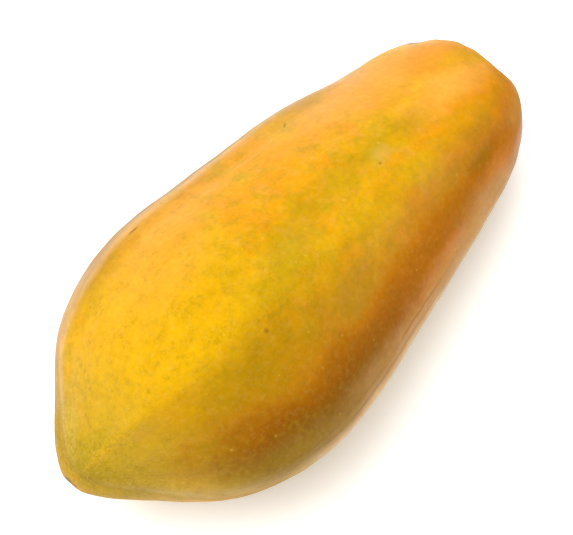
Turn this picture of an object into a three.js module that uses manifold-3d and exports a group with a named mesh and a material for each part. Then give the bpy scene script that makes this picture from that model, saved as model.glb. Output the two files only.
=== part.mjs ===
// Papaya lying on its side, grown in one piece. Millimetres, +Z up, stem end toward +X.
// The skin starts as a ball, and every direction of it is moved to its place on the fruit.
// "along" runs from 0 at the blossom tip to 1 at the stem, and "turn" goes round the length.

import * as THREE from 'three';
import { mergeVertices } from 'three/addons/utils/BufferGeometryUtils.js';
import Module from 'manifold-3d';

const LENGTH = 247; // tip to stem

// [along, size] lines: a size is read off the smooth curve through its points
const HALF_WIDTH = [[0, 50], [0.06, 52], [0.12, 63.5], [0.2, 68], [0.32, 66],
  [0.5, 57], [0.68, 53.5], [0.82, 53], [0.92, 55.5], [1, 57]];
const DEPTH_TO_WIDTH = [[0, 0.95], [0.5, 0.94], [1, 0.95]];
const SIDEWAYS = [[0, 0], [0.25, -4], [0.5, -3], [0.75, 2], [0.9, 7.5], [1, 20]];
const HEIGHT = [[0, 57], [0.3, 60.5], [0.7, 49], [1, 42.5]];
const TILT = -0.065; // mm up for each mm toward +Y, as the oval section leans over

// soft ribs along the fruit, the first one on top
const RIBS = 5;
const RIB_TURN = [[0, 102], [0.3, 101], [0.6, 104], [1, 96]]; // degrees
const RIB_RISE = [[0, 0.02], [0.15, 0.035], [0.35, 0.025], [0.6, 0.02], [0.85, 0.025], [1, 0.04]];
const RIB_SHARPNESS = 0.18; // narrows the crests and flattens the furrows
const SHOULDER_RISE = 0.01; // finer wave round the stem, twice as many
const SHOULDERS_FROM = 0.8; // along

// the stem end is cut off at a slant, with a dish round the stem scar
const SLANT = 0.56; // mm back for each mm toward +Y
const SLANT_FROM = 0.6; // along
const DISH = { depth: 4, radius: 12, from: 0.7, full: 0.9 };

// shallow hollow across the upper rib, near mid length
const HOLLOW = { along: 0.52, turn: 97, depth: 1.2, lengthways: 16, across: 11 };

// round recesses where the stalk and the flower came off
const STEM_SCAR = { radius: 9, floor: 8, depth: 1.6 };
const BLOSSOM_SCAR = { radius: 3, floor: 2.2, depth: 1.2 };

const REST_DEPTH = 0.8; // how much of the round underside the flat spot takes off

const SECTORS = 90;
const RINGS = 48;
const RINGS_TO_ENDS = 0.35; // 0 spaces the rings evenly, more draws them to the ends

// smooth curve through [position, value] points, with no bending at its two ends
function curve(points) {
  const last = points.length - 1;
  const step = (i) => points[i + 1][0] - points[i][0];
  const slope = (i) => (points[i + 1][1] - points[i][1]) / step(i);
  const bend = new Array(last + 1).fill(0);
  const carry = new Array(last + 1).fill(0);
  for (let i = 1; i < last; i += 1) {
    const pivot = 2 * (step(i - 1) + step(i)) - step(i - 1) * carry[i - 1];
    carry[i] = step(i) / pivot;
    bend[i] = (6 * (slope(i) - slope(i - 1)) - step(i - 1) * bend[i - 1]) / pivot;
  }
  for (let i = last - 1; i > 0; i -= 1) {
    bend[i] -= carry[i] * bend[i + 1];
  }
  return (at) => {
    let i = 0;
    while (i < last - 1 && at > points[i + 1][0]) {
      i += 1;
    }
    const h = step(i);
    const before = points[i + 1][0] - at;
    const after = at - points[i][0];
    return (bend[i] * before ** 3 + bend[i + 1] * after ** 3) / (6 * h)
      + (points[i][1] / h - (bend[i] * h) / 6) * before
      + (points[i + 1][1] / h - (bend[i + 1] * h) / 6) * after;
  };
}

const { degToRad, smoothstep, clamp } = THREE.MathUtils;
const halfWidth = curve(HALF_WIDTH);
const depthToWidth = curve(DEPTH_TO_WIDTH);
const sideways = curve(SIDEWAYS);
const height = curve(HEIGHT);
const ribTurn = curve(RIB_TURN);
const ribRise = curve(RIB_RISE);

// share of the plain radius that the ribs leave at one place on the skin
function ribShare(along, turn) {
  const fromRib = turn - degToRad(ribTurn(along));
  const wave = Math.cos(RIBS * fromRib);
  const ribs = ribRise(along) * (wave - RIB_SHARPNESS * (1 - wave * wave));
  const shoulders = SHOULDER_RISE * smoothstep(along, SHOULDERS_FROM, 1) * Math.cos(2 * RIBS * fromRib);
  return 1 + ribs + shoulders;
}

function hollowDepth(along, turn) {
  const arc = turn - degToRad(HOLLOW.turn);
  const lengthways = ((along - HOLLOW.along) * LENGTH) / HOLLOW.lengthways;
  const across = (halfWidth(along) * Math.atan2(Math.sin(arc), Math.cos(arc))) / HOLLOW.across;
  return HOLLOW.depth * Math.exp(-(lengthways ** 2) - across ** 2);
}

// place on the skin for one direction of the ball
function skinPoint(direction) {
  const even = Math.acos(clamp(-direction.x, -1, 1));
  const angle = even - (RINGS_TO_ENDS * Math.sin(2 * even)) / 2;
  const along = (1 - Math.cos(angle)) / 2;
  const turn = Math.atan2(direction.z, direction.y);

  const radius = halfWidth(along) * Math.sin(angle) * ribShare(along, turn) - hollowDepth(along, turn);
  const y = radius * Math.cos(turn);
  const z = radius * Math.sin(turn) * depthToWidth(along) + TILT * y;

  const slant = SLANT * smoothstep(along, SLANT_FROM, 1) * y;
  const inDish = Math.exp(-(y * y + z * z) / DISH.radius ** 2);
  const dish = DISH.depth * smoothstep(along, DISH.from, DISH.full) * inDish;
  const x = LENGTH * (along - 0.5) - slant - dish;
  return new THREE.Vector3(x, sideways(along) + y, height(along) + z);
}

const wasm = await Module();
wasm.setup();

function toSolid(geometry) {
  const bare = geometry.clone();
  bare.deleteAttribute('normal');
  bare.deleteAttribute('uv');
  const merged = mergeVertices(bare, 1e-4);
  return new wasm.Manifold(new wasm.Mesh({
    numProp: 3,
    vertProperties: new Float32Array(merged.attributes.position.array),
    triVerts: new Uint32Array(merged.index.array),
  }));
}

function toGeometry(solid) {
  const mesh = solid.getMesh();
  const geometry = new THREE.BufferGeometry();
  geometry.setAttribute('position', new THREE.BufferAttribute(mesh.vertProperties, mesh.numProp));
  geometry.setIndex(new THREE.BufferAttribute(mesh.triVerts, 1));
  geometry.computeVertexNormals();
  return geometry;
}

function skinBall() {
  const skin = new THREE.SphereGeometry(1, SECTORS, RINGS);
  skin.rotateZ(-Math.PI / 2);
  const position = skin.attributes.position;
  for (let i = 0; i < position.count; i += 1) {
    const point = skinPoint(new THREE.Vector3().fromBufferAttribute(position, i));
    position.setXYZ(i, point.x, point.y, point.z);
  }
  return skin;
}

// cone that presses a scar in at an end of the fruit, its floor narrower than its mouth
function scarTool(end, outward, scar) {
  const reach = 6; // how far it stands out of the skin
  const flare = ((scar.radius - scar.floor) * (reach + scar.depth)) / scar.depth;
  const tool = new THREE.CylinderGeometry(scar.floor + flare, scar.floor, reach + scar.depth, 40);
  tool.translate(0, (reach - scar.depth) / 2, 0);
  tool.applyQuaternion(new THREE.Quaternion().setFromUnitVectors(new THREE.Vector3(0, 1, 0), outward));
  return tool.translate(end.x, end.y, end.z);
}

const skin = skinBall();
skin.computeBoundingBox();
const middle = skin.boundingBox.getCenter(new THREE.Vector3());
const settle = new THREE.Vector3(-middle.x, -middle.y, -skin.boundingBox.min.z - REST_DEPTH);
skin.translate(settle.x, settle.y, settle.z);

const toStem = new THREE.Vector3(1, 0, 0);
const toBlossom = new THREE.Vector3(-1, 0, 0);
const stemEnd = skinPoint(toStem).add(settle);
const blossomEnd = skinPoint(toBlossom).add(settle);
const stemOutward = new THREE.Vector3(1, SLANT, 0).normalize();
const table = new THREE.BoxGeometry(400, 300, 40).translate(0, 0, -20);

const whole = toSolid(skin)
  .subtract(toSolid(table))
  .subtract(toSolid(scarTool(stemEnd, stemOutward, STEM_SCAR)))
  .subtract(toSolid(scarTool(blossomEnd, toBlossom, BLOSSOM_SCAR)));

const ripeSkin = new THREE.MeshStandardMaterial({ color: 0xe9a81c, roughness: 0.45, metalness: 0 });
const fruit = new THREE.Mesh(toGeometry(whole), ripeSkin);
fruit.name = 'papaya_fruit';

const papaya = new THREE.Group();
papaya.add(fruit);

export default papaya;
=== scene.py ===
"""A ripe papaya lying on its side on a white table, laid out as an add-on and run as a script."""
import math

import bpy
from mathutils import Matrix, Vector


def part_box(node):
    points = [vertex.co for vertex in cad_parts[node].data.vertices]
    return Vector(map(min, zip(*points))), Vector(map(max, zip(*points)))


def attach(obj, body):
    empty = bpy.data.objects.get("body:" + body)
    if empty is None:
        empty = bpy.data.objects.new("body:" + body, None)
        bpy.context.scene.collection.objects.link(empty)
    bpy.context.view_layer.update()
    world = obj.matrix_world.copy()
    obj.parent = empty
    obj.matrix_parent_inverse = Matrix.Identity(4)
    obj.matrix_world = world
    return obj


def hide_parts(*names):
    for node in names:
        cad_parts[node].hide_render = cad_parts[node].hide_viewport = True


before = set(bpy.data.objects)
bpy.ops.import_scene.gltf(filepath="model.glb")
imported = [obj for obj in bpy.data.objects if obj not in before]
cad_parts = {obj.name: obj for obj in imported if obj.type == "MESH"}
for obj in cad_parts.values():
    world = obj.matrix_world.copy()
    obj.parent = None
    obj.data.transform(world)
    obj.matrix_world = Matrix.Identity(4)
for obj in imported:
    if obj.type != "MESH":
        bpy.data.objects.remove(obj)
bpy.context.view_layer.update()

bl_info = {
    "name": "Papaya",
    "version": (1, 0, 0),
    "blender": (4, 5, 0),
    "location": "3D View > Sidebar > Papaya",
    "description": "Models a ripe papaya around its packed solid, with a white table and studio light",
    "category": "Object",
}

MM = 0.001
SOLID = "papaya_fruit"
LOW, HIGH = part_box(SOLID)
MIDDLE = (LOW + HIGH) / 2
HALF = (HIGH - LOW) / 2

# The ball that the fruit is drawn from: its faces round and along, how near a pole a vertex is the pole's
# own, and how far round the pole the skin follows when it is pulled onto its scar, both in mm.
BALL_SEGMENTS = 72
BALL_RINGS = 40
POLE_TOUCH = 0.1
POLE_PULL = 100

# The skin below this height, in mm, is pressed flat where the fruit rests.
REST = 0.15

# The line that the skin is unrolled round, in mm. It runs along X, and falls toward the stem by a share of
# its length.
AXIS_SIDE = 3
AXIS_HEIGHT = 52.5
AXIS_FALL = 0.093

# The two scars: middle, outward direction, radius in mm of the opening in the skin and of the cork, and the
# radius and height in mm of each ring from the skin inwards.
STEM_MIDDLE = Vector((HIGH.x - 9 * MM, 24.9 * MM, 39.3 * MM))
STEM_OUT = Vector((1, 0.56, 0)).normalized()
STEM_OPENING = 10
STEM_CORK = 9.5
STEM_RINGS = (
    (11.6, 1.7), (10.2, 1.9), (9.3, 1.7), (8.8, 0.7), (7.8, 0.0), (6.4, 0.1), (5.0, 0.7), (3.8, 0.5),
    (2.4, -0.5), (1.0, -0.9),
)
BLOSSOM_MIDDLE = Vector((LOW.x + 1 * MM, 5.7 * MM, 53.8 * MM))
BLOSSOM_OUT = Vector((-1, 0, 0))
BLOSSOM_OPENING = 6
BLOSSOM_CORK = 3.4
BLOSSOM_RINGS = (
    (6.0, 0.7), (4.2, 0.95), (3.2, 1.1), (2.7, 0.8), (2.2, 0.0), (1.5, -0.1), (1.1, 0.5), (0.5, 0.8),
)

# Crests of the ribs, and the furrows between them: degrees round the fruit, half width in degrees, start and
# end along the fruit in mm, over how many mm the stem end fades, how far both ends bow down in degrees, and
# height in mm.
CRESTS = (
    ("near crest", 35, 11, -122, 70, 40, 12, 1.2),
    ("top crest", 104, 14, -124, 30, 40, 0, 1.5),
    ("top furrow", 92, 11, -45, 90, 40, 0, -0.8),
    ("stem crest", 111, 16, -20, 124, 12, 0, 1.3),
    ("stem shoulder", 146, 44, 70, 126, 6, 0, 1.8),
    ("far crest", 168, 12, -122, 100, 40, 0, 1.2),
    ("far crease", 177, 3, -90, 90, 40, 0, -0.5),
)

# Every crest fades in over this many mm at its blossom end, and is rounded over this many degrees.
CREST_RISE = 25
CREST_ROUNDING = 1.0

# Size in mm of the skin's slow waves, of its small bumps and of the crumbs of the cork. The grain of real
# cork is about 0.5 mm, and the crumbs are coarser so that they show.
WAVES = 28
BUMPS = 7
CRUMBS = 1.6


def linear(colour):
    """An sRGB hex colour as linear red, green, blue and alpha."""
    parts = [int(colour[i:i + 2], 16) / 255 for i in (1, 3, 5)]
    return [p / 12.92 if p <= 0.04045 else ((p + 0.055) / 1.055) ** 2.4 for p in parts] + [1.0]


# ---------------------------------------------------------------- settings

def length(name, description, millimetres):
    return bpy.props.FloatProperty(
        name=name, description=description, default=millimetres * MM, unit="LENGTH", precision=5)


def angle(name, description, degrees):
    return bpy.props.FloatProperty(
        name=name, description=description, default=math.radians(degrees), subtype="ANGLE")


def amount(name, description, default):
    return bpy.props.FloatProperty(name=name, description=description, default=default, min=0)


def colour(name, description, hex_value):
    return bpy.props.FloatVectorProperty(
        name=name, description=description, default=linear(hex_value), size=4, subtype="COLOR", min=0, max=1)


class FruitSettings(bpy.types.PropertyGroup):
    swell: length("Slow swell", "Depth of the broad, slow waves of the skin", 0.9)
    unevenness: length("Small unevenness", "Depth of the small bumps and hollows of the skin", 0.22)
    crumbling: length("Corky grain", "Depth of the crumbly grain of the scars", 0.7)
    whole_wax: amount("Whole wax", "Strength of the reflection where the wax is whole", 0.5)
    worn_wax: amount("Worn wax", "Strength of the reflection where the wax is worn off", 0.08)
    honey: colour("Honey skin", "Ripe skin over most of the top", "#CD8A08")
    # On the top crests golden is partly a painted highlight, where the crests meet the light.
    golden: colour("Golden skin", "Yellower skin toward the blossom end and on the top crest", "#C49508")
    # Peach and apricot are partly a real blush and partly a painted sheen, on the upper flank and the top of
    # the stem end that face the light.
    peach: colour("Peach blush", "Pale orange skin on the sunny side", "#D8903A")
    apricot: colour("Apricot blush", "Palest orange skin, at the end of the stem crest", "#E29C3C")
    ember: colour("Ember blush", "Ripest orange skin, mostly at the stem end", "#C86E06")
    olive: colour("Yellow-green skin", "Skin that ripens last, at the blossom end and in furrows", "#A5870A")
    moss: colour("Green skin", "Last traces of green, as small flecks", "#987E0A")
    # Amber, ochre, brown, dark brown and green-brown are partly duller skin and partly painted shade: they
    # darken the far side from its shoulder down, the far sides of the top crests, and the skin low down.
    # Green-brown is also the real colour of dried specks at the blossom end.
    amber: colour("Amber skin", "Deep orange-brown skin on the far side", "#AC6404")
    ochre: colour("Ochre skin", "Dull yellow-brown skin beside the crests", "#A07606")
    brown: colour("Brown skin", "Dull brown skin low on the far side", "#985404")
    dark_brown: colour("Dark brown skin", "Dullest skin, under the far crest", "#764604")
    green_brown: colour("Green-brown skin", "Dull greenish skin low on both sides", "#7C600C")
    # Tan is mostly painted shade, low on the steep near flank where less light falls.
    tan: colour("Tan skin", "Dull skin low on the near side", "#92661C")
    # Buff and khaki are partly paler skin and partly a painted reflection of the white table, at the lower
    # edges of the far side and the tip. Khaki is also the real colour of dried specks at the blossom end.
    buff: colour("Buff skin", "Paler, waxier skin at the edge of the far side", "#B88448")
    khaki: colour("Khaki skin", "Pale yellow-green skin low on the far side and under the tip", "#B89A44")
    # Painted highlight along the near crest, and painted reflection of the table in pale streaks on both
    # flanks and at the far edge.
    pale_wax: colour("Pale wax", "Pale rubbed wax along the low crests and flanks", "#DAB070")
    pore: colour("Pale dots", "Corky breathing pores", "#E2B640")
    rub: colour("Rub marks", "Healed rub marks", "#6A5012")
    haze: colour("Wax haze", "Smears and flecks of dried latex and wax", "#B8A050")
    cork: colour("Cork", "Dry floor of the scars", "#A5825A")
    dark_cork: colour("Dark cork", "Dry rim of the stem scar", "#4B2F1A")
    remnant: colour("Flower remnant", "Dry grey-brown tuft of the blossom scar", "#9C8852")


class StageSettings(bpy.types.PropertyGroup):
    azimuth: angle("Azimuth", "Turn of the camera round the fruit, 0 looks along +Y", -46.95)
    elevation: angle("Elevation", "Height of the camera above the horizon", 70)
    distance: length("Distance", "Camera to the middle of the fruit", 1100)
    focal: bpy.props.FloatProperty(
        name="Focal length", description="Lens, in mm", default=172.5, subtype="DISTANCE_CAMERA")
    key_turn: angle("Key turn", "Turn of the main light from +Y toward -X", 30)
    key_rise: angle("Key rise", "Height of the main light above the horizon", 76)
    key_strength: amount("Key strength", "Brightness of the main light", 4.6)
    key_tint: colour("Key tint", "Colour of the main light", "#FFFFFF")
    fill_turn: angle("Fill turn", "Turn of the weak warm light from +Y toward -X", 72)
    fill_rise: angle("Fill rise", "Height of the weak warm light above the horizon", 30)
    fill_strength: amount("Fill strength", "Brightness of the weak warm light", 0.4)
    fill_tint: colour("Fill tint", "Colour of the weak warm light", "#FFF4DC")
    spread: angle("Spread", "Apparent width of both lights", 50)
    dome: colour("Dome", "Colour of the room's walls and ceiling", "#FFFFFF")
    dome_top: amount("Dome top", "Brightness of the room overhead; the horizon is 1", 0.2)
    table_side: length("Table side", "Side of the square table", 6000)
    table_white: colour("Table", "Colour of the table's top", "#F3F3F3")
    glow: amount("Table glow", "Light that comes up through the white table", 0.35)


# ---------------------------------------------------------------- tools

def node(tree, kind, inputs=None, **settings):
    """Adds a node with its settings, and sets or links its inputs."""
    added = tree.nodes.new(kind)
    for name, value in settings.items():
        setattr(added, name, value)
    for socket, value in (inputs or {}).items():
        if isinstance(value, bpy.types.NodeSocket):
            tree.links.new(value, added.inputs[socket])
        else:
            added.inputs[socket].default_value = value
    return added


def pick(piece, wanted):
    """Selects the vertices of the piece whose place passes the test, and nothing else, in edit mode."""
    bpy.ops.object.mode_set(mode="EDIT")
    bpy.ops.mesh.select_mode(type="VERT")
    bpy.ops.mesh.select_all(action="DESELECT")
    bpy.ops.object.mode_set(mode="OBJECT")
    for vertex in piece.data.vertices:
        vertex.select = bool(wanted(vertex.co))
    bpy.ops.object.mode_set(mode="EDIT")


def group(piece, name, weight):
    """Gives the piece a vertex group whose weights, from 0 to 1, follow from each vertex's place."""
    members = piece.vertex_groups.new(name=name)
    for vertex in piece.data.vertices:
        members.add([vertex.index], float(weight(vertex.co)), "REPLACE")
    return name


def apply(piece, kind, **settings):
    """Adds a modifier to the piece and applies it."""
    modifier = piece.modifiers.new(kind.title(), kind)
    for name, value in settings.items():
        setattr(modifier, name, value)
    bpy.ops.object.modifier_apply(modifier=modifier.name)


def smooth(repeats):
    """Relaxes the whole mesh."""
    bpy.ops.object.mode_set(mode="EDIT")
    bpy.ops.mesh.select_all(action="SELECT")
    bpy.ops.mesh.vertices_smooth(factor=0.5, repeat=repeats)
    bpy.ops.object.mode_set(mode="OBJECT")


def unrolled(place):
    """A place as mm along the fruit and degrees round it, from -90 to 270; 90 is the top."""
    along = place.x / MM
    rise = place.z / MM - AXIS_HEIGHT + AXIS_FALL * along
    side = place.y / MM - AXIS_SIDE
    return along, (math.degrees(math.atan2(rise, side)) + 90) % 360 - 90


def off_axis(place, middle, out):
    """Distance of a place from a scar's axis."""
    away = place - middle
    return (away - away.dot(out) * out).length


def near(place, middle, out, radius):
    """Whether a place is within the radius in mm of a scar's axis, at its own end of the fruit."""
    return (place - middle).length < 3 * radius * MM and off_axis(place, middle, out) < radius * MM


def in_cork(place):
    """Whether a place is on the dry cork of either scar."""
    in_stem = near(place, STEM_MIDDLE, STEM_OUT, STEM_CORK)
    return in_stem or near(place, BLOSSOM_MIDDLE, BLOSSOM_OUT, BLOSSOM_CORK)


# ---------------------------------------------------------------- fruit

def ball():
    """A ball of the solid's size whose poles lie on the two scars, drawn onto the solid and relaxed."""
    bpy.ops.object.select_all(action="DESELECT")
    bpy.ops.mesh.primitive_uv_sphere_add(
        segments=BALL_SEGMENTS, ring_count=BALL_RINGS, radius=1, location=MIDDLE,
        rotation=(0, math.pi / 2, 0), scale=(HALF.z, HALF.y, HALF.x))
    fruit = bpy.context.active_object
    fruit.name = "papaya"
    bpy.ops.object.transform_apply(location=True, rotation=True, scale=True)
    for middle, side in ((STEM_MIDDLE, 1), (BLOSSOM_MIDDLE, -1)):
        pole = MIDDLE + Vector((side * HALF.x, 0, 0))
        pick(fruit, lambda place: (place - pole).length < POLE_TOUCH * MM)
        bpy.ops.transform.translate(
            value=middle - pole, use_proportional_edit=True, proportional_edit_falloff="SMOOTH",
            proportional_size=POLE_PULL * MM)
        bpy.ops.object.mode_set(mode="OBJECT")
    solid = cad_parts[SOLID]
    for repeats in (3, 1):
        apply(fruit, "SHRINKWRAP", target=solid, wrap_method="NEAREST_SURFACEPOINT")
        smooth(repeats)
    return fruit


def scar(fruit, middle, out, opening, rings):
    """Opens the skin round a scar's axis and draws the edge inwards, ring by ring, to a closed middle."""
    pick(fruit, lambda place: near(place, middle, out, opening))
    bpy.ops.mesh.delete(type="VERT")
    bpy.ops.mesh.select_mode(type="EDGE")
    bpy.ops.mesh.select_non_manifold(extend=False)
    bpy.ops.object.mode_set(mode="OBJECT")
    edge = [vertex.co for vertex in fruit.data.vertices if vertex.select]
    radius = sum(off_axis(place, middle, out) for place in edge) / len(edge)
    height = sum((place - middle).dot(out) for place in edge) / len(edge)
    bpy.ops.object.mode_set(mode="EDIT")
    for next_radius, next_height in rings:
        step = next_height * MM - height
        bpy.ops.mesh.extrude_edges_move(TRANSFORM_OT_translate={"value": out * step})
        ratio = next_radius * MM / radius
        height += step
        bpy.ops.transform.resize(value=(ratio, ratio, ratio), center_override=middle + out * height)
        radius *= ratio
    bpy.ops.mesh.merge(type="CENTER")
    bpy.ops.object.mode_set(mode="OBJECT")


def ridge(turn, width, start, end, fade, bow):
    """The weight of a long ridge: a soft hump over the given degrees, faded out at both its ends in mm."""
    def weight(place):
        along, around = unrolled(place)
        bent = turn - bow * ((2 * along - start - end) / (end - start)) ** 2
        tent = max(0.0, 1.0 - math.hypot(around - bent, CREST_ROUNDING) / width)
        hump = tent * tent * (3 - 2 * tent)
        risen = min(1.0, max(0.0, (along - start) / CREST_RISE))
        return hump * risen * min(1.0, max(0.0, (end - along) / fade))
    return weight


def crest(fruit, name, turn, width, start, end, fade, bow, height):
    """Draws a narrow crest, or with a negative height a furrow, along the fruit."""
    where = group(fruit, name, ridge(turn, width, start, end, fade, bow))
    apply(fruit, "DISPLACE", vertex_group=where, mid_level=0.0, strength=height * MM)


def roughen(fruit, name, grain, depth, where=""):
    """Raises and sinks the surface by a cloudy pattern, with its grain in mm and its depth in metres."""
    clouds = bpy.data.textures.new(name, "CLOUDS")
    clouds.noise_scale = grain * MM
    apply(fruit, "DISPLACE", texture=clouds, texture_coords="LOCAL", strength=depth, vertex_group=where)


class PAPAYA_OT_fruit(bpy.types.Operator):
    """Models the fruit from a ball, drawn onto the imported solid"""
    bl_idname = "papaya.fruit"
    bl_label = "Papaya fruit"

    def execute(self, context):
        settings = context.scene.papaya_fruit
        fruit = ball()
        scar(fruit, STEM_MIDDLE, STEM_OUT, STEM_OPENING, STEM_RINGS)
        scar(fruit, BLOSSOM_MIDDLE, BLOSSOM_OUT, BLOSSOM_OPENING, BLOSSOM_RINGS)
        bpy.ops.object.mode_set(mode="EDIT")
        bpy.ops.mesh.select_all(action="SELECT")
        bpy.ops.mesh.normals_make_consistent(inside=False)
        bpy.ops.object.mode_set(mode="OBJECT")

        fruit.data.materials.append(ripe_skin(settings))
        fruit.data.materials.append(dry_cork(settings))
        cork = group(fruit, "cork", in_cork)
        pick(fruit, in_cork)
        bpy.ops.mesh.select_mode(type="FACE")
        fruit.active_material_index = 1
        bpy.ops.object.material_slot_assign()
        bpy.ops.object.mode_set(mode="OBJECT")

        apply(fruit, "SUBSURF", levels=2, render_levels=2)
        for crest_settings in CRESTS:
            crest(fruit, *crest_settings)
        roughen(fruit, "slow swell", WAVES, settings.swell)
        roughen(fruit, "small unevenness", BUMPS, settings.unevenness)
        roughen(fruit, "corky grain", CRUMBS, settings.crumbling, cork)
        pick(fruit, lambda place: place.z < REST * MM)
        bpy.ops.transform.resize(value=(1, 1, 0), center_override=(0, 0, 0))
        bpy.ops.object.mode_set(mode="OBJECT")
        bpy.ops.object.shade_smooth()
        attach(fruit, "root")
        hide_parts(SOLID)
        return {"FINISHED"}


# ---------------------------------------------------------------- skin

# Blotches of ripe and unripe skin, and of painted shade, highlight and reflection, laid one over another:
# colour, middle and half size (mm along the fruit and degrees round it, where 90 is the top), softness and
# strength. A slant in degrees and a bow may follow.
BLOTCHES = (
    # The broad colours of the top and the sunny side, which faces the light: peach and apricot are partly
    # painted sheen, and the ochre beside the top crest is partly painted shade.
    ("golden", (-72, 78), (44, 40), 0.6, 0.9),
    ("peach", (80, 46), (46, 20), 0.7, 0.75),
    ("peach", (-32, 48), (22, 10), 0.8, 0.5),
    ("apricot", (100, 86), (26, 14), 0.8, 0.9),
    ("ember", (106, 50), (14, 22), 0.8, 0.25),
    ("ochre", (-56, 123), (48, 12), 0.8, 0.9),
    ("ember", (118, 122), (16, 34), 0.7, 0.4),
    ("ember", (94, 116), (26, 13), 0.9, 0.6),
    # The far side, darker from its shoulder down: partly duller skin and partly painted shade, with a paler
    # band of painted reflection at its edge.
    ("amber", (52, 128), (66, 9), 0.9, 0.35),
    ("amber", (22, 143.5), (118, 13), 0.8, 0.88),
    ("dark_brown", (-76, 142), (18, 11), 0.9, 0.5),
    ("amber", (10, 158), (130, 12), 0.6, 0.6),
    ("brown", (-6, 149), (88, 9), 1.0, 0.6),
    ("brown", (86, 137), (22, 9), 0.8, 0.6),
    ("dark_brown", (-52, 151), (44, 11), 1.0, 0.8),
    ("buff", (30, 167), (96, 8), 0.6, 0.8),
    ("dark_brown", (-76, 155), (16, 10), 0.8, 0.8),
    ("dark_brown", (-78, 169), (12, 6), 0.8, 0.5),
    ("buff", (76, 154), (26, 8), 0.8, 0.5),
    ("green_brown", (-56, 163), (38, 6), 0.7, 0.55),
    # The yellow crests of the top, lighter partly as a painted highlight.
    ("golden", (-58, 101), (40, 6), 0.9, 0.8),
    ("golden", (45, 111.5), (65, 7), 0.9, 0.6, 3),
    # The blossom end, and the rims beside it: the pale khaki low on the rims is partly a painted reflection
    # of the table, and the green-brown partly painted shade.
    ("olive", (-124, 90), (26, 130), 0.5, 1.0),
    ("olive", (-98, 138), (14, 14), 0.9, 0.6),
    ("khaki", (20, 184), (100, 12), 0.6, 0.7),
    ("green_brown", (-82, 174), (30, 10), 0.7, 0.6),
    ("khaki", (-100, 169), (16, 10), 0.7, 0.5),
    ("khaki", (-114, 30), (18, 14), 0.8, 0.6),
    ("moss", (-127, 100), (14, 130), 0.7, 0.6),
    ("green_brown", (-122, 166), (14, 20), 0.8, 0.4),
    # The far side of the stem end, darker partly as painted shade.
    ("amber", (108, 158), (15, 26), 0.7, 0.8),
    ("brown", (122, 130), (12, 46), 0.9, 0.2),
    ("ember", (86, 151), (11, 6), 0.8, 0.5),
    ("ember", (40, 155), (13, 4), 0.8, 0.4),
    # The near flank, darker low down, where tan and green-brown are mostly painted shade.
    ("tan", (-18, 10), (92, 25), 0.6, 0.9, 0, 0.28),
    ("ochre", (-58, 39), (18, 5), 0.8, 0.5),
    ("tan", (-56, 30), (18, 6), 0.8, 0.8),
    ("green_brown", (16, 26), (44, 4), 0.9, 0.5),
    # Small blotches over the broad ones. Ochre, brown and green-brown on the far side are partly painted
    # shade, the pale one at its edge is painted reflection, and the golden one at the blossom end of the top
    # crest is partly a painted highlight.
    ("golden", (-110, 108), (11, 8), 0.8, 0.6),
    ("ochre", (70, 90), (11, 8), 0.8, 0.5),
    ("ochre", (86, 122), (9, 6), 0.8, 0.4),
    ("ochre", (-4, 130), (14, 5), 0.8, 0.6),
    ("ochre", (62, 130), (15, 5), 0.8, 0.4),
    ("brown", (-64, 142), (26, 9), 0.9, 0.3),
    ("brown", (90, 170), (18, 5), 0.8, 0.4),
    ("green_brown", (-66, 162), (25, 5), 0.8, 0.4),
    ("green_brown", (-50, 156), (36, 7), 0.8, 0.35),
    ("golden", (116, 142), (10, 10), 0.8, 0.3),
    ("golden", (112, 64), (12, 15), 0.8, 0.35),
    ("pale_wax", (-20, 172.5), (48, 5), 0.8, 0.25),
    ("green_brown", (79, 137), (7, 4), 0.8, 0.4),
    ("peach", (-54, 64), (20, 14), 0.8, 0.3),
    ("golden", (58, 94), (13, 7), 0.8, 0.4),
    # The underside, the furrow of the top, and the low crests with their hairlines: a pale painted highlight
    # along the near crest, and dark hairlines of painted shade under the far crest.
    ("olive", (0, 230), (140, 40), 0.6, 0.7),
    ("olive", (-14, 99), (20, 8), 0.9, 0.7, -20),
    ("olive", (26, 89), (34, 7), 0.9, 0.5, -4),
    ("ochre", (50, 33), (12, 6), 0.8, 0.6),
    ("pale_wax", (-30, 35), (74, 2.2), 0.9, 0.3, 0, 5),
    # Dark hairlines of painted shade under the far crest.
    ("dark_brown", (-22, 165), (58, 0.8), 0.8, 0.6, 0, -3),
    ("dark_brown", (-8, 161.5), (50, 0.7), 0.8, 0.5, 0, -2),
)

# Blotches narrower than this many degrees sit on a crest or in a furrow, so their edges stray little.
# Hairlines are straight, and broken up into streaks.
NARROW = 7
HAIRLINE = 1.5

# How far the edges of a blotch stray, in mm along the fruit and degrees round it.
LOOSE = (46, 22, 0)
STEADY = (20, 6, 0)

# Streaks per mm along the fruit and per degree round it: a streak is about 33 mm long and 1.7 mm wide.
STREAKS = (0.03, 0.6, 0)

# Size in mm of what each cloudy pattern draws. Specks of dried latex are about 0.3 mm across, and are drawn
# up to 1.1 mm, because finer ones don't show when the whole fruit is in view.
STRAYING = 30
SLOW_MOTTLES = 17
PATCHES = 7
FLECKS = 2.2
SPECKS = 1.1
PEBBLES = 1.3

# Pores: mm from one place to the next, what share of the places has one, and radius in mm. A real pore is
# half as wide, and these are drawn larger for the same reason as the specks.
PORE_SPACING = 5.0
PORE_SHARE = 0.25
PORE_RADIUS = 0.6

# Where unripe flecks are weakest and strongest, in mm along the fruit, and their strength there.
WEAKEST_FLECKS = (80, 0.08)
STRONGEST_FLECKS = (-60, 0.4)

# Where the flecks and specks of the blossom end start and are full, in mm along the fruit, and how strong
# they are.
TIP_START, TIP_FULL = -84, -122
TIP_STRENGTH = 0.45

# How much darker a speck is than the skin round it, where flecks are at full strength.
SPECK_DARKNESS = 0.2

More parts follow.
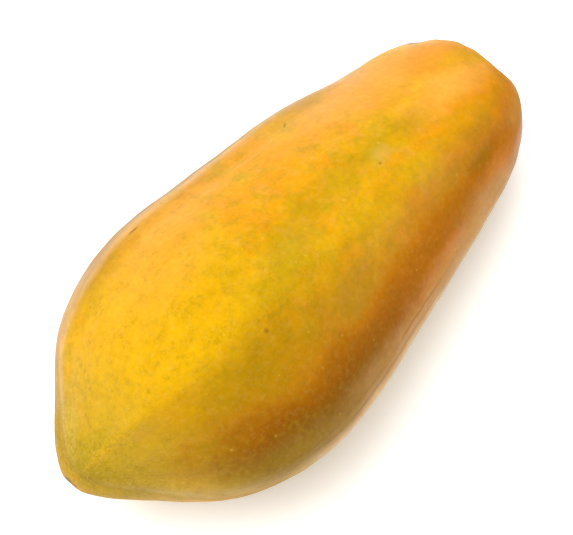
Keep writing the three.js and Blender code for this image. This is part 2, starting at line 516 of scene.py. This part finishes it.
# The flanks, where painted reflection lies in pale streaks: middle, half size, bow and strength.
FLANKS = (
    ((-30, 22), (100, 10), 1, 0.1),
    ((0, 176), (120, 9), 0, 0.3),
)

# Where the wax is worn off, besides the blossom end: middle, half size and share.
WORN = (
    ((125, 84), (83, 63), 1.0),
    ((10, 143), (130, 13), 0.9),
    ((-92, 178), (34, 9), 0.5),
    ((-10, 20), (64, 11), 0.35),
)

# Healed rub marks: middle, half size, slant in degrees and strength.
RUBS = (
    ((-42.2, 37.3), (2.2, 0.45), 8, 0.9),
    ((33.6, 40.3), (1.6, 0.5), -50, 0.6),
    ((-41.8, 113.1), (0.9, 0.9), 0, 0.6),
    ((43.8, 95.9), (0.7, 0.7), 0, 0.6),
)

# A smear of dried wax: middle and half size.
SMEAR = ((46, 91), (2.5, 4))

# Where the skin is stained dark: middle, radius and softness in mm, and strength. Round each scar, and where
# latex ran beside the stem. The edge of a stain is ragged by so many mm.
STAINS = (
    (STEM_MIDDLE / MM, 9.2, 2.5, 0.8),
    (BLOSSOM_MIDDLE / MM, 3.2, 2.5, 0.15),
    (Vector((111, 31.5, 44)), 1.6, 2, 0.8),
    (Vector((107, 35, 48)), 2.8, 2, 0.9),
)
RAGGED = 4.0

# Height in mm of the lengthwise wrinkles and of the pebbled skin.
WRINKLE_HEIGHT = 0.2
PEBBLE_HEIGHT = 0.05

# Least and most roughness of the wax, and how much rougher the skin is without it.
WAX_ROUGHNESS = (0.38, 0.5)
BARE_ROUGHNESS = 0.35


def in_mm(tree):
    """Each place of the surface, in mm."""
    place = node(tree, "ShaderNodeTexCoord").outputs["Object"]
    return node(tree, "ShaderNodeVectorMath", {0: place, "Scale": 1 / MM}, operation="SCALE").outputs[0]


def unroll(tree, place):
    """The same places unrolled: mm along the fruit, and degrees round it from -90 to 270."""
    parts = node(tree, "ShaderNodeSeparateXYZ", {0: place}).outputs
    below = node(tree, "ShaderNodeMath", {
        0: parts["X"], 1: AXIS_FALL, 2: -AXIS_HEIGHT}, operation="MULTIPLY_ADD").outputs[0]
    rise = node(tree, "ShaderNodeMath", {0: parts["Z"], 1: below}, operation="ADD").outputs[0]
    side = node(tree, "ShaderNodeMath", {0: parts["Y"], 1: AXIS_SIDE}, operation="SUBTRACT").outputs[0]
    turn = node(tree, "ShaderNodeMath", {0: rise, 1: side}, operation="ARCTAN2").outputs[0]
    turn = node(tree, "ShaderNodeMath", {0: turn}, operation="DEGREES").outputs[0]
    from_below = node(tree, "ShaderNodeMath", {0: turn, 1: 90.0 + 360.0}, operation="ADD").outputs[0]
    from_below = node(tree, "ShaderNodeMath", {0: from_below, 1: 360.0}, operation="MODULO").outputs[0]
    turn = node(tree, "ShaderNodeMath", {0: from_below, 1: 90.0}, operation="SUBTRACT").outputs[0]
    return node(tree, "ShaderNodeCombineXYZ", {"X": parts["X"], "Y": turn}).outputs[0]


def lay(tree, below, colour, pattern, start, full, strength=1.0):
    """Lays a colour over the colour below where the pattern passes from start to full. The pattern may run
    either way, so full may be the smaller."""
    cover = node(tree, "ShaderNodeMapRange", {
        "Value": pattern, "From Min": start, "From Max": full, "To Max": strength,
    }, interpolation_type="SMOOTHSTEP").outputs[0]
    return node(tree, "ShaderNodeMix", {"Factor": cover, 6: below, 7: colour}, data_type="RGBA").outputs[2]


def shade(tree, below, pattern, start, full, first, last):
    """Multiplies the colour below by a share that goes from first to last as the pattern goes from start to
    full."""
    share = node(tree, "ShaderNodeMapRange", {
        "Value": pattern, "From Min": start, "From Max": full, "To Min": first, "To Max": last}).outputs[0]
    return node(tree, "ShaderNodeVectorMath", {0: below, "Scale": share}, operation="SCALE").outputs[0]


def reach(tree, skin, middle, half, slant=0, bow=0):
    """How far out of an oval each place of the unrolled skin lies: 0 in its middle and 1 at its edge. A bow
    bends its ends down by so many half widths."""
    inside = node(tree, "ShaderNodeMapping", {
        "Vector": skin, "Location": (*middle, 0), "Rotation": (0, 0, math.radians(slant)),
        "Scale": (*half, 1)}, vector_type="TEXTURE").outputs[0]
    if bow:
        parts = node(tree, "ShaderNodeSeparateXYZ", {0: inside}).outputs
        bend = node(tree, "ShaderNodeMath", {0: parts["X"], 1: parts["X"]}, operation="MULTIPLY").outputs[0]
        across = node(tree, "ShaderNodeMath", {
            0: bend, 1: bow, 2: parts["Y"]}, operation="MULTIPLY_ADD").outputs[0]
        inside = node(tree, "ShaderNodeCombineXYZ", {"X": parts["X"], "Y": across}).outputs[0]
    return node(tree, "ShaderNodeVectorMath", {0: inside}, operation="LENGTH").outputs["Value"]


def dots(tree, below, colour, place, spacing, radius, share, strength):
    """Lays scattered dots of a colour: the given share of the cells of the spacing, in mm, hold one."""
    cells = node(tree, "ShaderNodeTexVoronoi", {"Vector": place, "Scale": 1 / spacing}).outputs
    draw = node(tree, "ShaderNodeSeparateColor", {"Color": cells["Color"]}).outputs["Red"]
    chosen = node(tree, "ShaderNodeMath", {0: draw, 1: share}, operation="LESS_THAN").outputs[0]
    cover = node(tree, "ShaderNodeMath", {0: chosen, 1: strength}, operation="MULTIPLY").outputs[0]
    size = radius / spacing
    return lay(tree, below, colour, cells["Distance"], 1.4 * size, 0.5 * size, cover)


class SkinPatterns:
    """The places on the skin and the patterns over it, made once for all the layers that follow them."""

    def __init__(self, tree):
        self.place = in_mm(tree)
        self.straight = unroll(tree, self.place)
        stray = node(tree, "ShaderNodeTexNoise", {
            "Vector": self.place, "Scale": 1 / STRAYING, "Detail": 6, "Roughness": 0.62}).outputs["Color"]
        stray = node(tree, "ShaderNodeVectorMath", {
            0: stray, 1: (0.5, 0.5, 0.5)}, operation="SUBTRACT").outputs[0]
        self.loose = node(tree, "ShaderNodeVectorMath", {
            0: stray, 1: LOOSE, 2: self.straight}, operation="MULTIPLY_ADD").outputs[0]
        self.steady = node(tree, "ShaderNodeVectorMath", {
            0: stray, 1: STEADY, 2: self.straight}, operation="MULTIPLY_ADD").outputs[0]

        lines = node(tree, "ShaderNodeVectorMath", {
            0: self.steady, 1: STREAKS}, operation="MULTIPLY").outputs[0]
        self.streak = node(tree, "ShaderNodeTexNoise", {
            "Vector": lines, "Scale": 1, "Detail": 4, "Roughness": 0.62}).outputs["Fac"]
        self.slow = node(tree, "ShaderNodeTexNoise", {
            "Vector": self.place, "Scale": 1 / SLOW_MOTTLES, "Detail": 3}).outputs["Fac"]
        clouds = []
        for size, detail, roughness in ((PATCHES, 3, 0.6), (FLECKS, 3, 0.62), (SPECKS, 2, 0.5)):
            cloud = node(tree, "ShaderNodeTexNoise", {
                "Vector": self.place, "Scale": 1 / size, "Detail": detail, "Roughness": roughness})
            clouds.append(node(tree, "ShaderNodeSeparateColor", {"Color": cloud.outputs["Color"]}).outputs)
        self.patches, self.flecks, self.specks = clouds

        # Unripe flecks come in loose groups that thin out toward the stem, and crowd at the blossom end.
        along = node(tree, "ShaderNodeSeparateXYZ", {0: self.loose}).outputs["X"]
        unripe = node(tree, "ShaderNodeMapRange", {
            "Value": along, "From Min": WEAKEST_FLECKS[0], "From Max": STRONGEST_FLECKS[0],
            "To Min": WEAKEST_FLECKS[1], "To Max": STRONGEST_FLECKS[1]}).outputs[0]
        groups = node(tree, "ShaderNodeMapRange", {
            "Value": self.patches["Blue"], "From Min": 0.42, "From Max": 0.62, "To Max": unripe}).outputs[0]
        self.tip = node(tree, "ShaderNodeMapRange", {
            "Value": along, "From Min": TIP_START, "From Max": TIP_FULL, "To Max": TIP_STRENGTH,
        }, interpolation_type="SMOOTHSTEP").outputs[0]
        self.crowd = node(tree, "ShaderNodeMath", {0: groups, 1: self.tip}, operation="ADD").outputs[0]


def mottled(tree, skin, settings):
    """Ripe skin, slowly mottled, with patches that lag behind and patches that the sun has blushed."""
    paint = lay(tree, settings.honey, settings.golden, skin.slow, start=0.4, full=0.62, strength=0.8)
    paint = lay(tree, paint, settings.olive, skin.patches["Red"], start=0.48, full=0.66, strength=0.5)
    return lay(tree, paint, settings.peach, skin.patches["Green"], start=0.52, full=0.68, strength=0.4)


def blotched(tree, skin, settings, paint):
    """Blotches where the skin ripened early or late, blotches of painted shade, highlight and reflection,
    and dark hairlines of painted shade under the far crest.
    """
    for name, middle, half, softness, strength, *bent in BLOTCHES:
        where = skin.steady if half[1] < NARROW else skin.loose
        if half[1] < HAIRLINE:
            where = skin.straight
            strength = node(tree, "ShaderNodeMapRange", {
                "Value": skin.streak, "From Min": 0.4, "From Max": 0.6, "To Max": strength}).outputs[0]
        away = reach(tree, where, middle, half, *bent)
        paint = lay(tree, paint, getattr(settings, name), away, 1 + softness, 1 - softness, strength)
    return paint


def streaked(tree, skin, settings, paint):
    """Painted reflection of the white table, in fine pale streaks along both flanks."""
    for middle, half, bow, strength in FLANKS:
        streaks = node(tree, "ShaderNodeMapRange", {
            "Value": skin.streak, "From Min": 0.5, "From Max": 0.66, "To Max": strength}).outputs[0]
        away = reach(tree, skin.steady, middle, half, bow=bow)
        paint = lay(tree, paint, settings.pale_wax, away, start=1.5, full=0.5, strength=streaks)
    return paint


def flecked(tree, skin, settings, paint):
    """Quick mottling: green flecks, faint flecks of wax, and slightly lighter and darker flecks."""
    paint = lay(tree, paint, settings.moss, skin.flecks["Red"], start=0.45, full=0.68, strength=skin.crowd)
    paint = lay(tree, paint, settings.haze, skin.flecks["Green"], start=0.46, full=0.68, strength=0.1)
    paint = shade(tree, paint, skin.flecks["Blue"], start=0.3, full=0.7, first=0.94, last=1.06)
    return shade(tree, paint, skin.patches["Blue"], start=0.3, full=0.7, first=1.06, last=0.94)


def speckled(tree, skin, settings, paint):
    """Specks that darken the skin among the green flecks and colour the blossom end, and a few pores."""
    darkest = node(tree, "ShaderNodeMath", {
        0: skin.crowd, 1: -SPECK_DARKNESS, 2: 1.0}, operation="MULTIPLY_ADD").outputs[0]
    paint = shade(tree, paint, skin.specks["Red"], start=0.48, full=0.68, first=1.0, last=darkest)
    for dried, channel, start in ((settings.green_brown, "Blue", 0.5), (settings.khaki, "Green", 0.54)):
        paint = lay(tree, paint, dried, skin.specks[channel], start, full=0.7, strength=skin.tip)
    return dots(tree, paint, settings.pore, skin.place, PORE_SPACING, PORE_RADIUS, PORE_SHARE, strength=0.22)


def marked(tree, skin, settings, paint):
    """Rub marks with edges that don't stray, a smear of wax, and the stained skin round the scars."""
    for middle, half, slant, strength in RUBS:
        away = reach(tree, skin.straight, middle, half, slant)
        paint = lay(tree, paint, settings.rub, away, start=1.7, full=0.3, strength=strength)
    away = reach(tree, skin.loose, *SMEAR)
    paint = lay(tree, paint, settings.haze, away, start=1.9, full=0.1, strength=0.3)
    for middle, radius, softness, strength in STAINS:
        away = node(tree, "ShaderNodeVectorMath", {
            0: skin.place, 1: middle}, operation="DISTANCE").outputs["Value"]
        away = node(tree, "ShaderNodeMath", {
            0: skin.flecks["Blue"], 1: RAGGED, 2: away}, operation="MULTIPLY_ADD").outputs[0]
        edge = radius + RAGGED / 2
        paint = lay(tree, paint, settings.dark_cork, away, edge + softness, edge, strength)
    return paint


def wrinkled(tree, skin):
    """The normal of a skin with fine lengthwise wrinkles and slight pebbles."""
    pebble = node(tree, "ShaderNodeTexNoise", {"Vector": skin.place, "Scale": 1 / PEBBLES}).outputs["Fac"]
    height = node(tree, "ShaderNodeMath", {
        0: skin.streak, 1: WRINKLE_HEIGHT}, operation="MULTIPLY").outputs[0]
    height = node(tree, "ShaderNodeMath", {
        0: pebble, 1: PEBBLE_HEIGHT, 2: height}, operation="MULTIPLY_ADD").outputs[0]
    return node(tree, "ShaderNodeBump", {"Height": height, "Distance": MM, "Strength": 1.0}).outputs[0]


def bare(tree, skin):
    """How bare of wax the skin is, from 0 to 1: most at both ends and along the far shoulder."""
    most = skin.tip
    for middle, half, share in WORN:
        away = reach(tree, skin.loose, middle, half)
        worn = node(tree, "ShaderNodeMapRange", {
            "Value": away, "From Min": 1.2, "From Max": 0.5, "To Max": share,
        }, interpolation_type="SMOOTHSTEP").outputs[0]
        most = node(tree, "ShaderNodeMath", {0: most, 1: worn}, operation="MAXIMUM").outputs[0]
    return most


def ripe_skin(settings):
    """Ripe papaya skin, grown thin and smooth over soft flesh, with a natural coat of wax. The skin ripens
    unevenly from yellow-green to orange, latex and pores leave small specks, and the wax gives a pale shine
    at grazing angles, which is weaker and duller where it has worn off. Its colour also holds painted shade
    on the far side and low flanks, and painted highlights and reflections along the crests and lower edges."""
    material = bpy.data.materials.new("Ripe papaya skin")
    material.use_nodes = True
    tree = material.node_tree
    shader = tree.nodes["Principled BSDF"]
    skin = SkinPatterns(tree)
    paint = mottled(tree, skin, settings)
    for layer in (blotched, streaked, flecked, speckled, marked):
        paint = layer(tree, skin, settings, paint)
    tree.links.new(paint, shader.inputs["Base Color"])
    tree.links.new(wrinkled(tree, skin), shader.inputs["Normal"])

    without_wax = bare(tree, skin)
    smoothest, roughest = WAX_ROUGHNESS
    rough = node(tree, "ShaderNodeMapRange", {
        "Value": skin.slow, "From Min": 0.3, "From Max": 0.7, "To Min": smoothest, "To Max": roughest,
    }).outputs[0]
    rough = node(tree, "ShaderNodeMath", {
        0: without_wax, 1: BARE_ROUGHNESS, 2: rough}, operation="MULTIPLY_ADD").outputs[0]
    tree.links.new(rough, shader.inputs["Roughness"])
    wax = node(tree, "ShaderNodeMapRange", {
        "Value": without_wax, "To Min": settings.whole_wax, "To Max": settings.worn_wax}).outputs[0]
    tree.links.new(wax, shader.inputs["Specular IOR Level"])
    shader.inputs["IOR"].default_value = 1.47
    shader.inputs["Specular Tint"].default_value = settings.golden
    return material


# ---------------------------------------------------------------- cork

# Height in mm of the crumbs that the light picks out, besides those that are modelled.
CRUMB_HEIGHT = 0.6

# Distances in mm from the middle of the stem scar at which its rim starts and is darkest, and at which its
# pit starts and is darkest. Crumbs and spokes move them inwards by up to so many mm.
RIM_START, RIM_DARK = 9.4, 13.2
PIT_START, PIT_DARK = 7.4, 5.4
CRUMB_PUSH = 3.0
SPOKE_PUSH = 5.0

# How finely the spokes of vessels divide the directions from the middle of the stem scar.
SPOKES = 4

# Where, in mm along the fruit, cork gives way to the flower remnant of the blossom scar.
REMNANT_START, REMNANT_FULL = -100, -120


def dry_cork(settings):
    """Dry cork of the scars, where the skin tore off the stem and the flower: matt, crumbly and cracked."""
    material = bpy.data.materials.new("Dry scar cork")
    material.use_nodes = True
    tree = material.node_tree
    shader = tree.nodes["Principled BSDF"]
    place = in_mm(tree)
    along = node(tree, "ShaderNodeSeparateXYZ", {0: place}).outputs["X"]
    grit = node(tree, "ShaderNodeTexNoise", {
        "Vector": place, "Scale": 1 / CRUMBS, "Detail": 5, "Roughness": 0.65}).outputs["Fac"]

    # The vessels of the stem end in spokes round its pit: the pattern runs along each spoke, not across it.
    outward = node(tree, "ShaderNodeVectorMath", {
        0: place, 1: STEM_MIDDLE / MM}, operation="SUBTRACT").outputs[0]
    outward = node(tree, "ShaderNodeVectorMath", {0: outward}, operation="NORMALIZE").outputs[0]
    spoke = node(tree, "ShaderNodeTexNoise", {
        "Vector": outward, "Scale": SPOKES, "Detail": 3, "Roughness": 0.6}).outputs["Fac"]
    away = node(tree, "ShaderNodeVectorMath", {
        0: place, 1: STEM_MIDDLE / MM}, operation="DISTANCE").outputs["Value"]
    for pattern, push in ((grit, CRUMB_PUSH), (spoke, SPOKE_PUSH)):
        away = node(tree, "ShaderNodeMath", {
            0: pattern, 1: push, 2: away}, operation="MULTIPLY_ADD").outputs[0]

    paint = lay(tree, settings.cork, settings.dark_cork, away, RIM_START, RIM_DARK, 0.9)
    paint = lay(tree, paint, settings.dark_cork, away, PIT_START, PIT_DARK, 0.9)
    paint = lay(tree, paint, settings.dark_cork, spoke, start=0.48, full=0.62, strength=0.5)
    paint = lay(tree, paint, settings.dark_cork, grit, start=0.5, full=0.7, strength=0.7)
    paint = lay(tree, paint, settings.remnant, along, REMNANT_START, REMNANT_FULL, 0.85)
    tree.links.new(paint, shader.inputs["Base Color"])
    bump = node(tree, "ShaderNodeBump", {
        "Height": grit, "Distance": CRUMB_HEIGHT * MM, "Strength": 1.0}).outputs[0]
    tree.links.new(bump, shader.inputs["Normal"])
    shader.inputs["Roughness"].default_value = 0.85
    shader.inputs["Specular IOR Level"].default_value = 0.3
    return material


# ---------------------------------------------------------------- stage

# The place near the fruit's middle that the camera looks at, and the width of its sensor in mm.
AIM = Vector((-2.9, 5, 55)) * MM
SENSOR = 36

# The room is brightest at the horizon, and dims between these two heights, given as sines of their angles.
DOME_START, DOME_END = 0.05, 0.25


def direction(turn, rise):
    """The unit vector at a turn from +Y toward -X and a height above the horizon."""
    return Vector((-math.sin(turn) * math.cos(rise), math.cos(turn) * math.cos(rise), math.sin(rise)))


def lit_acrylic(stage):
    """Matt white acrylic sheet, lit from below: it hides its own edges and gives the fruit a soft shadow."""
    material = bpy.data.materials.new("Lit matt acrylic")
    material.use_nodes = True
    shader = material.node_tree.nodes["Principled BSDF"]
    shader.inputs["Base Color"].default_value = stage.table_white
    shader.inputs["Roughness"].default_value = 0.8
    shader.inputs["Emission Color"].default_value = linear("#FFFFFF")
    shader.inputs["Emission Strength"].default_value = stage.glow
    return material


def add_table(stage):
    """A plain table far wider than the view."""
    bpy.ops.object.select_all(action="DESELECT")
    bpy.ops.mesh.primitive_plane_add(size=stage.table_side, location=(0, 0, 0))
    table = bpy.context.active_object
    table.name = "table"
    table.data.materials.append(lit_acrylic(stage))


def light_room(scene, stage):
    """Light from all round, as in a room with pale walls and a dim ceiling."""
    world = scene.world or bpy.data.worlds.new("Studio")
    scene.world = world
    world.use_nodes = True
    tree = world.node_tree
    outward = node(tree, "ShaderNodeTexCoord").outputs["Generated"]
    rise = node(tree, "ShaderNodeSeparateXYZ", {0: outward}).outputs["Z"]
    dome = node(tree, "ShaderNodeMapRange", {
        "Value": rise, "From Min": DOME_START, "From Max": DOME_END, "To Min": 1.0,
        "To Max": stage.dome_top}, interpolation_type="SMOOTHSTEP").outputs[0]
    background = tree.nodes["Background"]
    background.inputs["Color"].default_value = stage.dome
    tree.links.new(dome, background.inputs["Strength"])


def add_camera(scene, stage):
    """A long lens that looks down at the fruit."""
    back = direction(stage.azimuth + math.pi, stage.elevation)
    bpy.ops.object.camera_add(location=AIM + back * stage.distance)
    camera = bpy.context.active_object
    camera.rotation_euler = (-back).to_track_quat("-Z", "Y").to_euler()
    camera.data.sensor_width = SENSOR
    camera.data.lens = stage.focal
    scene.camera = camera


def add_light(name, spread, turn, rise, strength, tint):
    """A wide, far light that the wax doesn't mirror."""
    toward = direction(turn, rise)
    bpy.ops.object.light_add(type="SUN", location=AIM + toward)
    light = bpy.context.active_object
    light.name = name
    light.rotation_euler = toward.to_track_quat("Z", "Y").to_euler()
    light.data.angle = spread
    light.data.energy = strength
    light.data.color = tint[:3]
    light.visible_glossy = False


class PAPAYA_OT_stage(bpy.types.Operator):
    """Adds the white table, the studio light and the camera"""
    bl_idname = "papaya.stage"
    bl_label = "Stage"

    def execute(self, context):
        scene = context.scene
        stage = scene.papaya_stage
        add_table(stage)
        light_room(scene, stage)
        add_camera(scene, stage)
        for name in ("key", "fill"):
            add_light(name + " light", stage.spread, *(
                getattr(stage, name + "_" + setting) for setting in ("turn", "rise", "strength", "tint")))
        scene.view_settings.view_transform = "Standard"
        return {"FINISHED"}


# ---------------------------------------------------------------- add-on

class PAPAYA_PT_panel(bpy.types.Panel):
    """Lists the fruit's and the stage's settings, each with its button"""
    bl_label = "Papaya"
    bl_space_type = "VIEW_3D"
    bl_region_type = "UI"
    bl_category = "Papaya"

    def draw(self, context):
        for name in ("fruit", "stage"):
            settings = getattr(context.scene, "papaya_" + name)
            box = self.layout.box()
            for setting in settings.__annotations__:
                box.prop(settings, setting)
            box.operator("papaya." + name)


CLASSES = (FruitSettings, StageSettings, PAPAYA_OT_fruit, PAPAYA_OT_stage, PAPAYA_PT_panel)


def register():
    for kind in CLASSES:
        bpy.utils.register_class(kind)
    bpy.types.Scene.papaya_fruit = bpy.props.PointerProperty(type=FruitSettings)
    bpy.types.Scene.papaya_stage = bpy.props.PointerProperty(type=StageSettings)


def unregister():
    del bpy.types.Scene.papaya_fruit
    del bpy.types.Scene.papaya_stage
    for kind in reversed(CLASSES):
        bpy.utils.unregister_class(kind)


def main():
    register()
    bpy.ops.papaya.fruit()
    bpy.ops.papaya.stage()


if __name__ == "__main__":
    main()
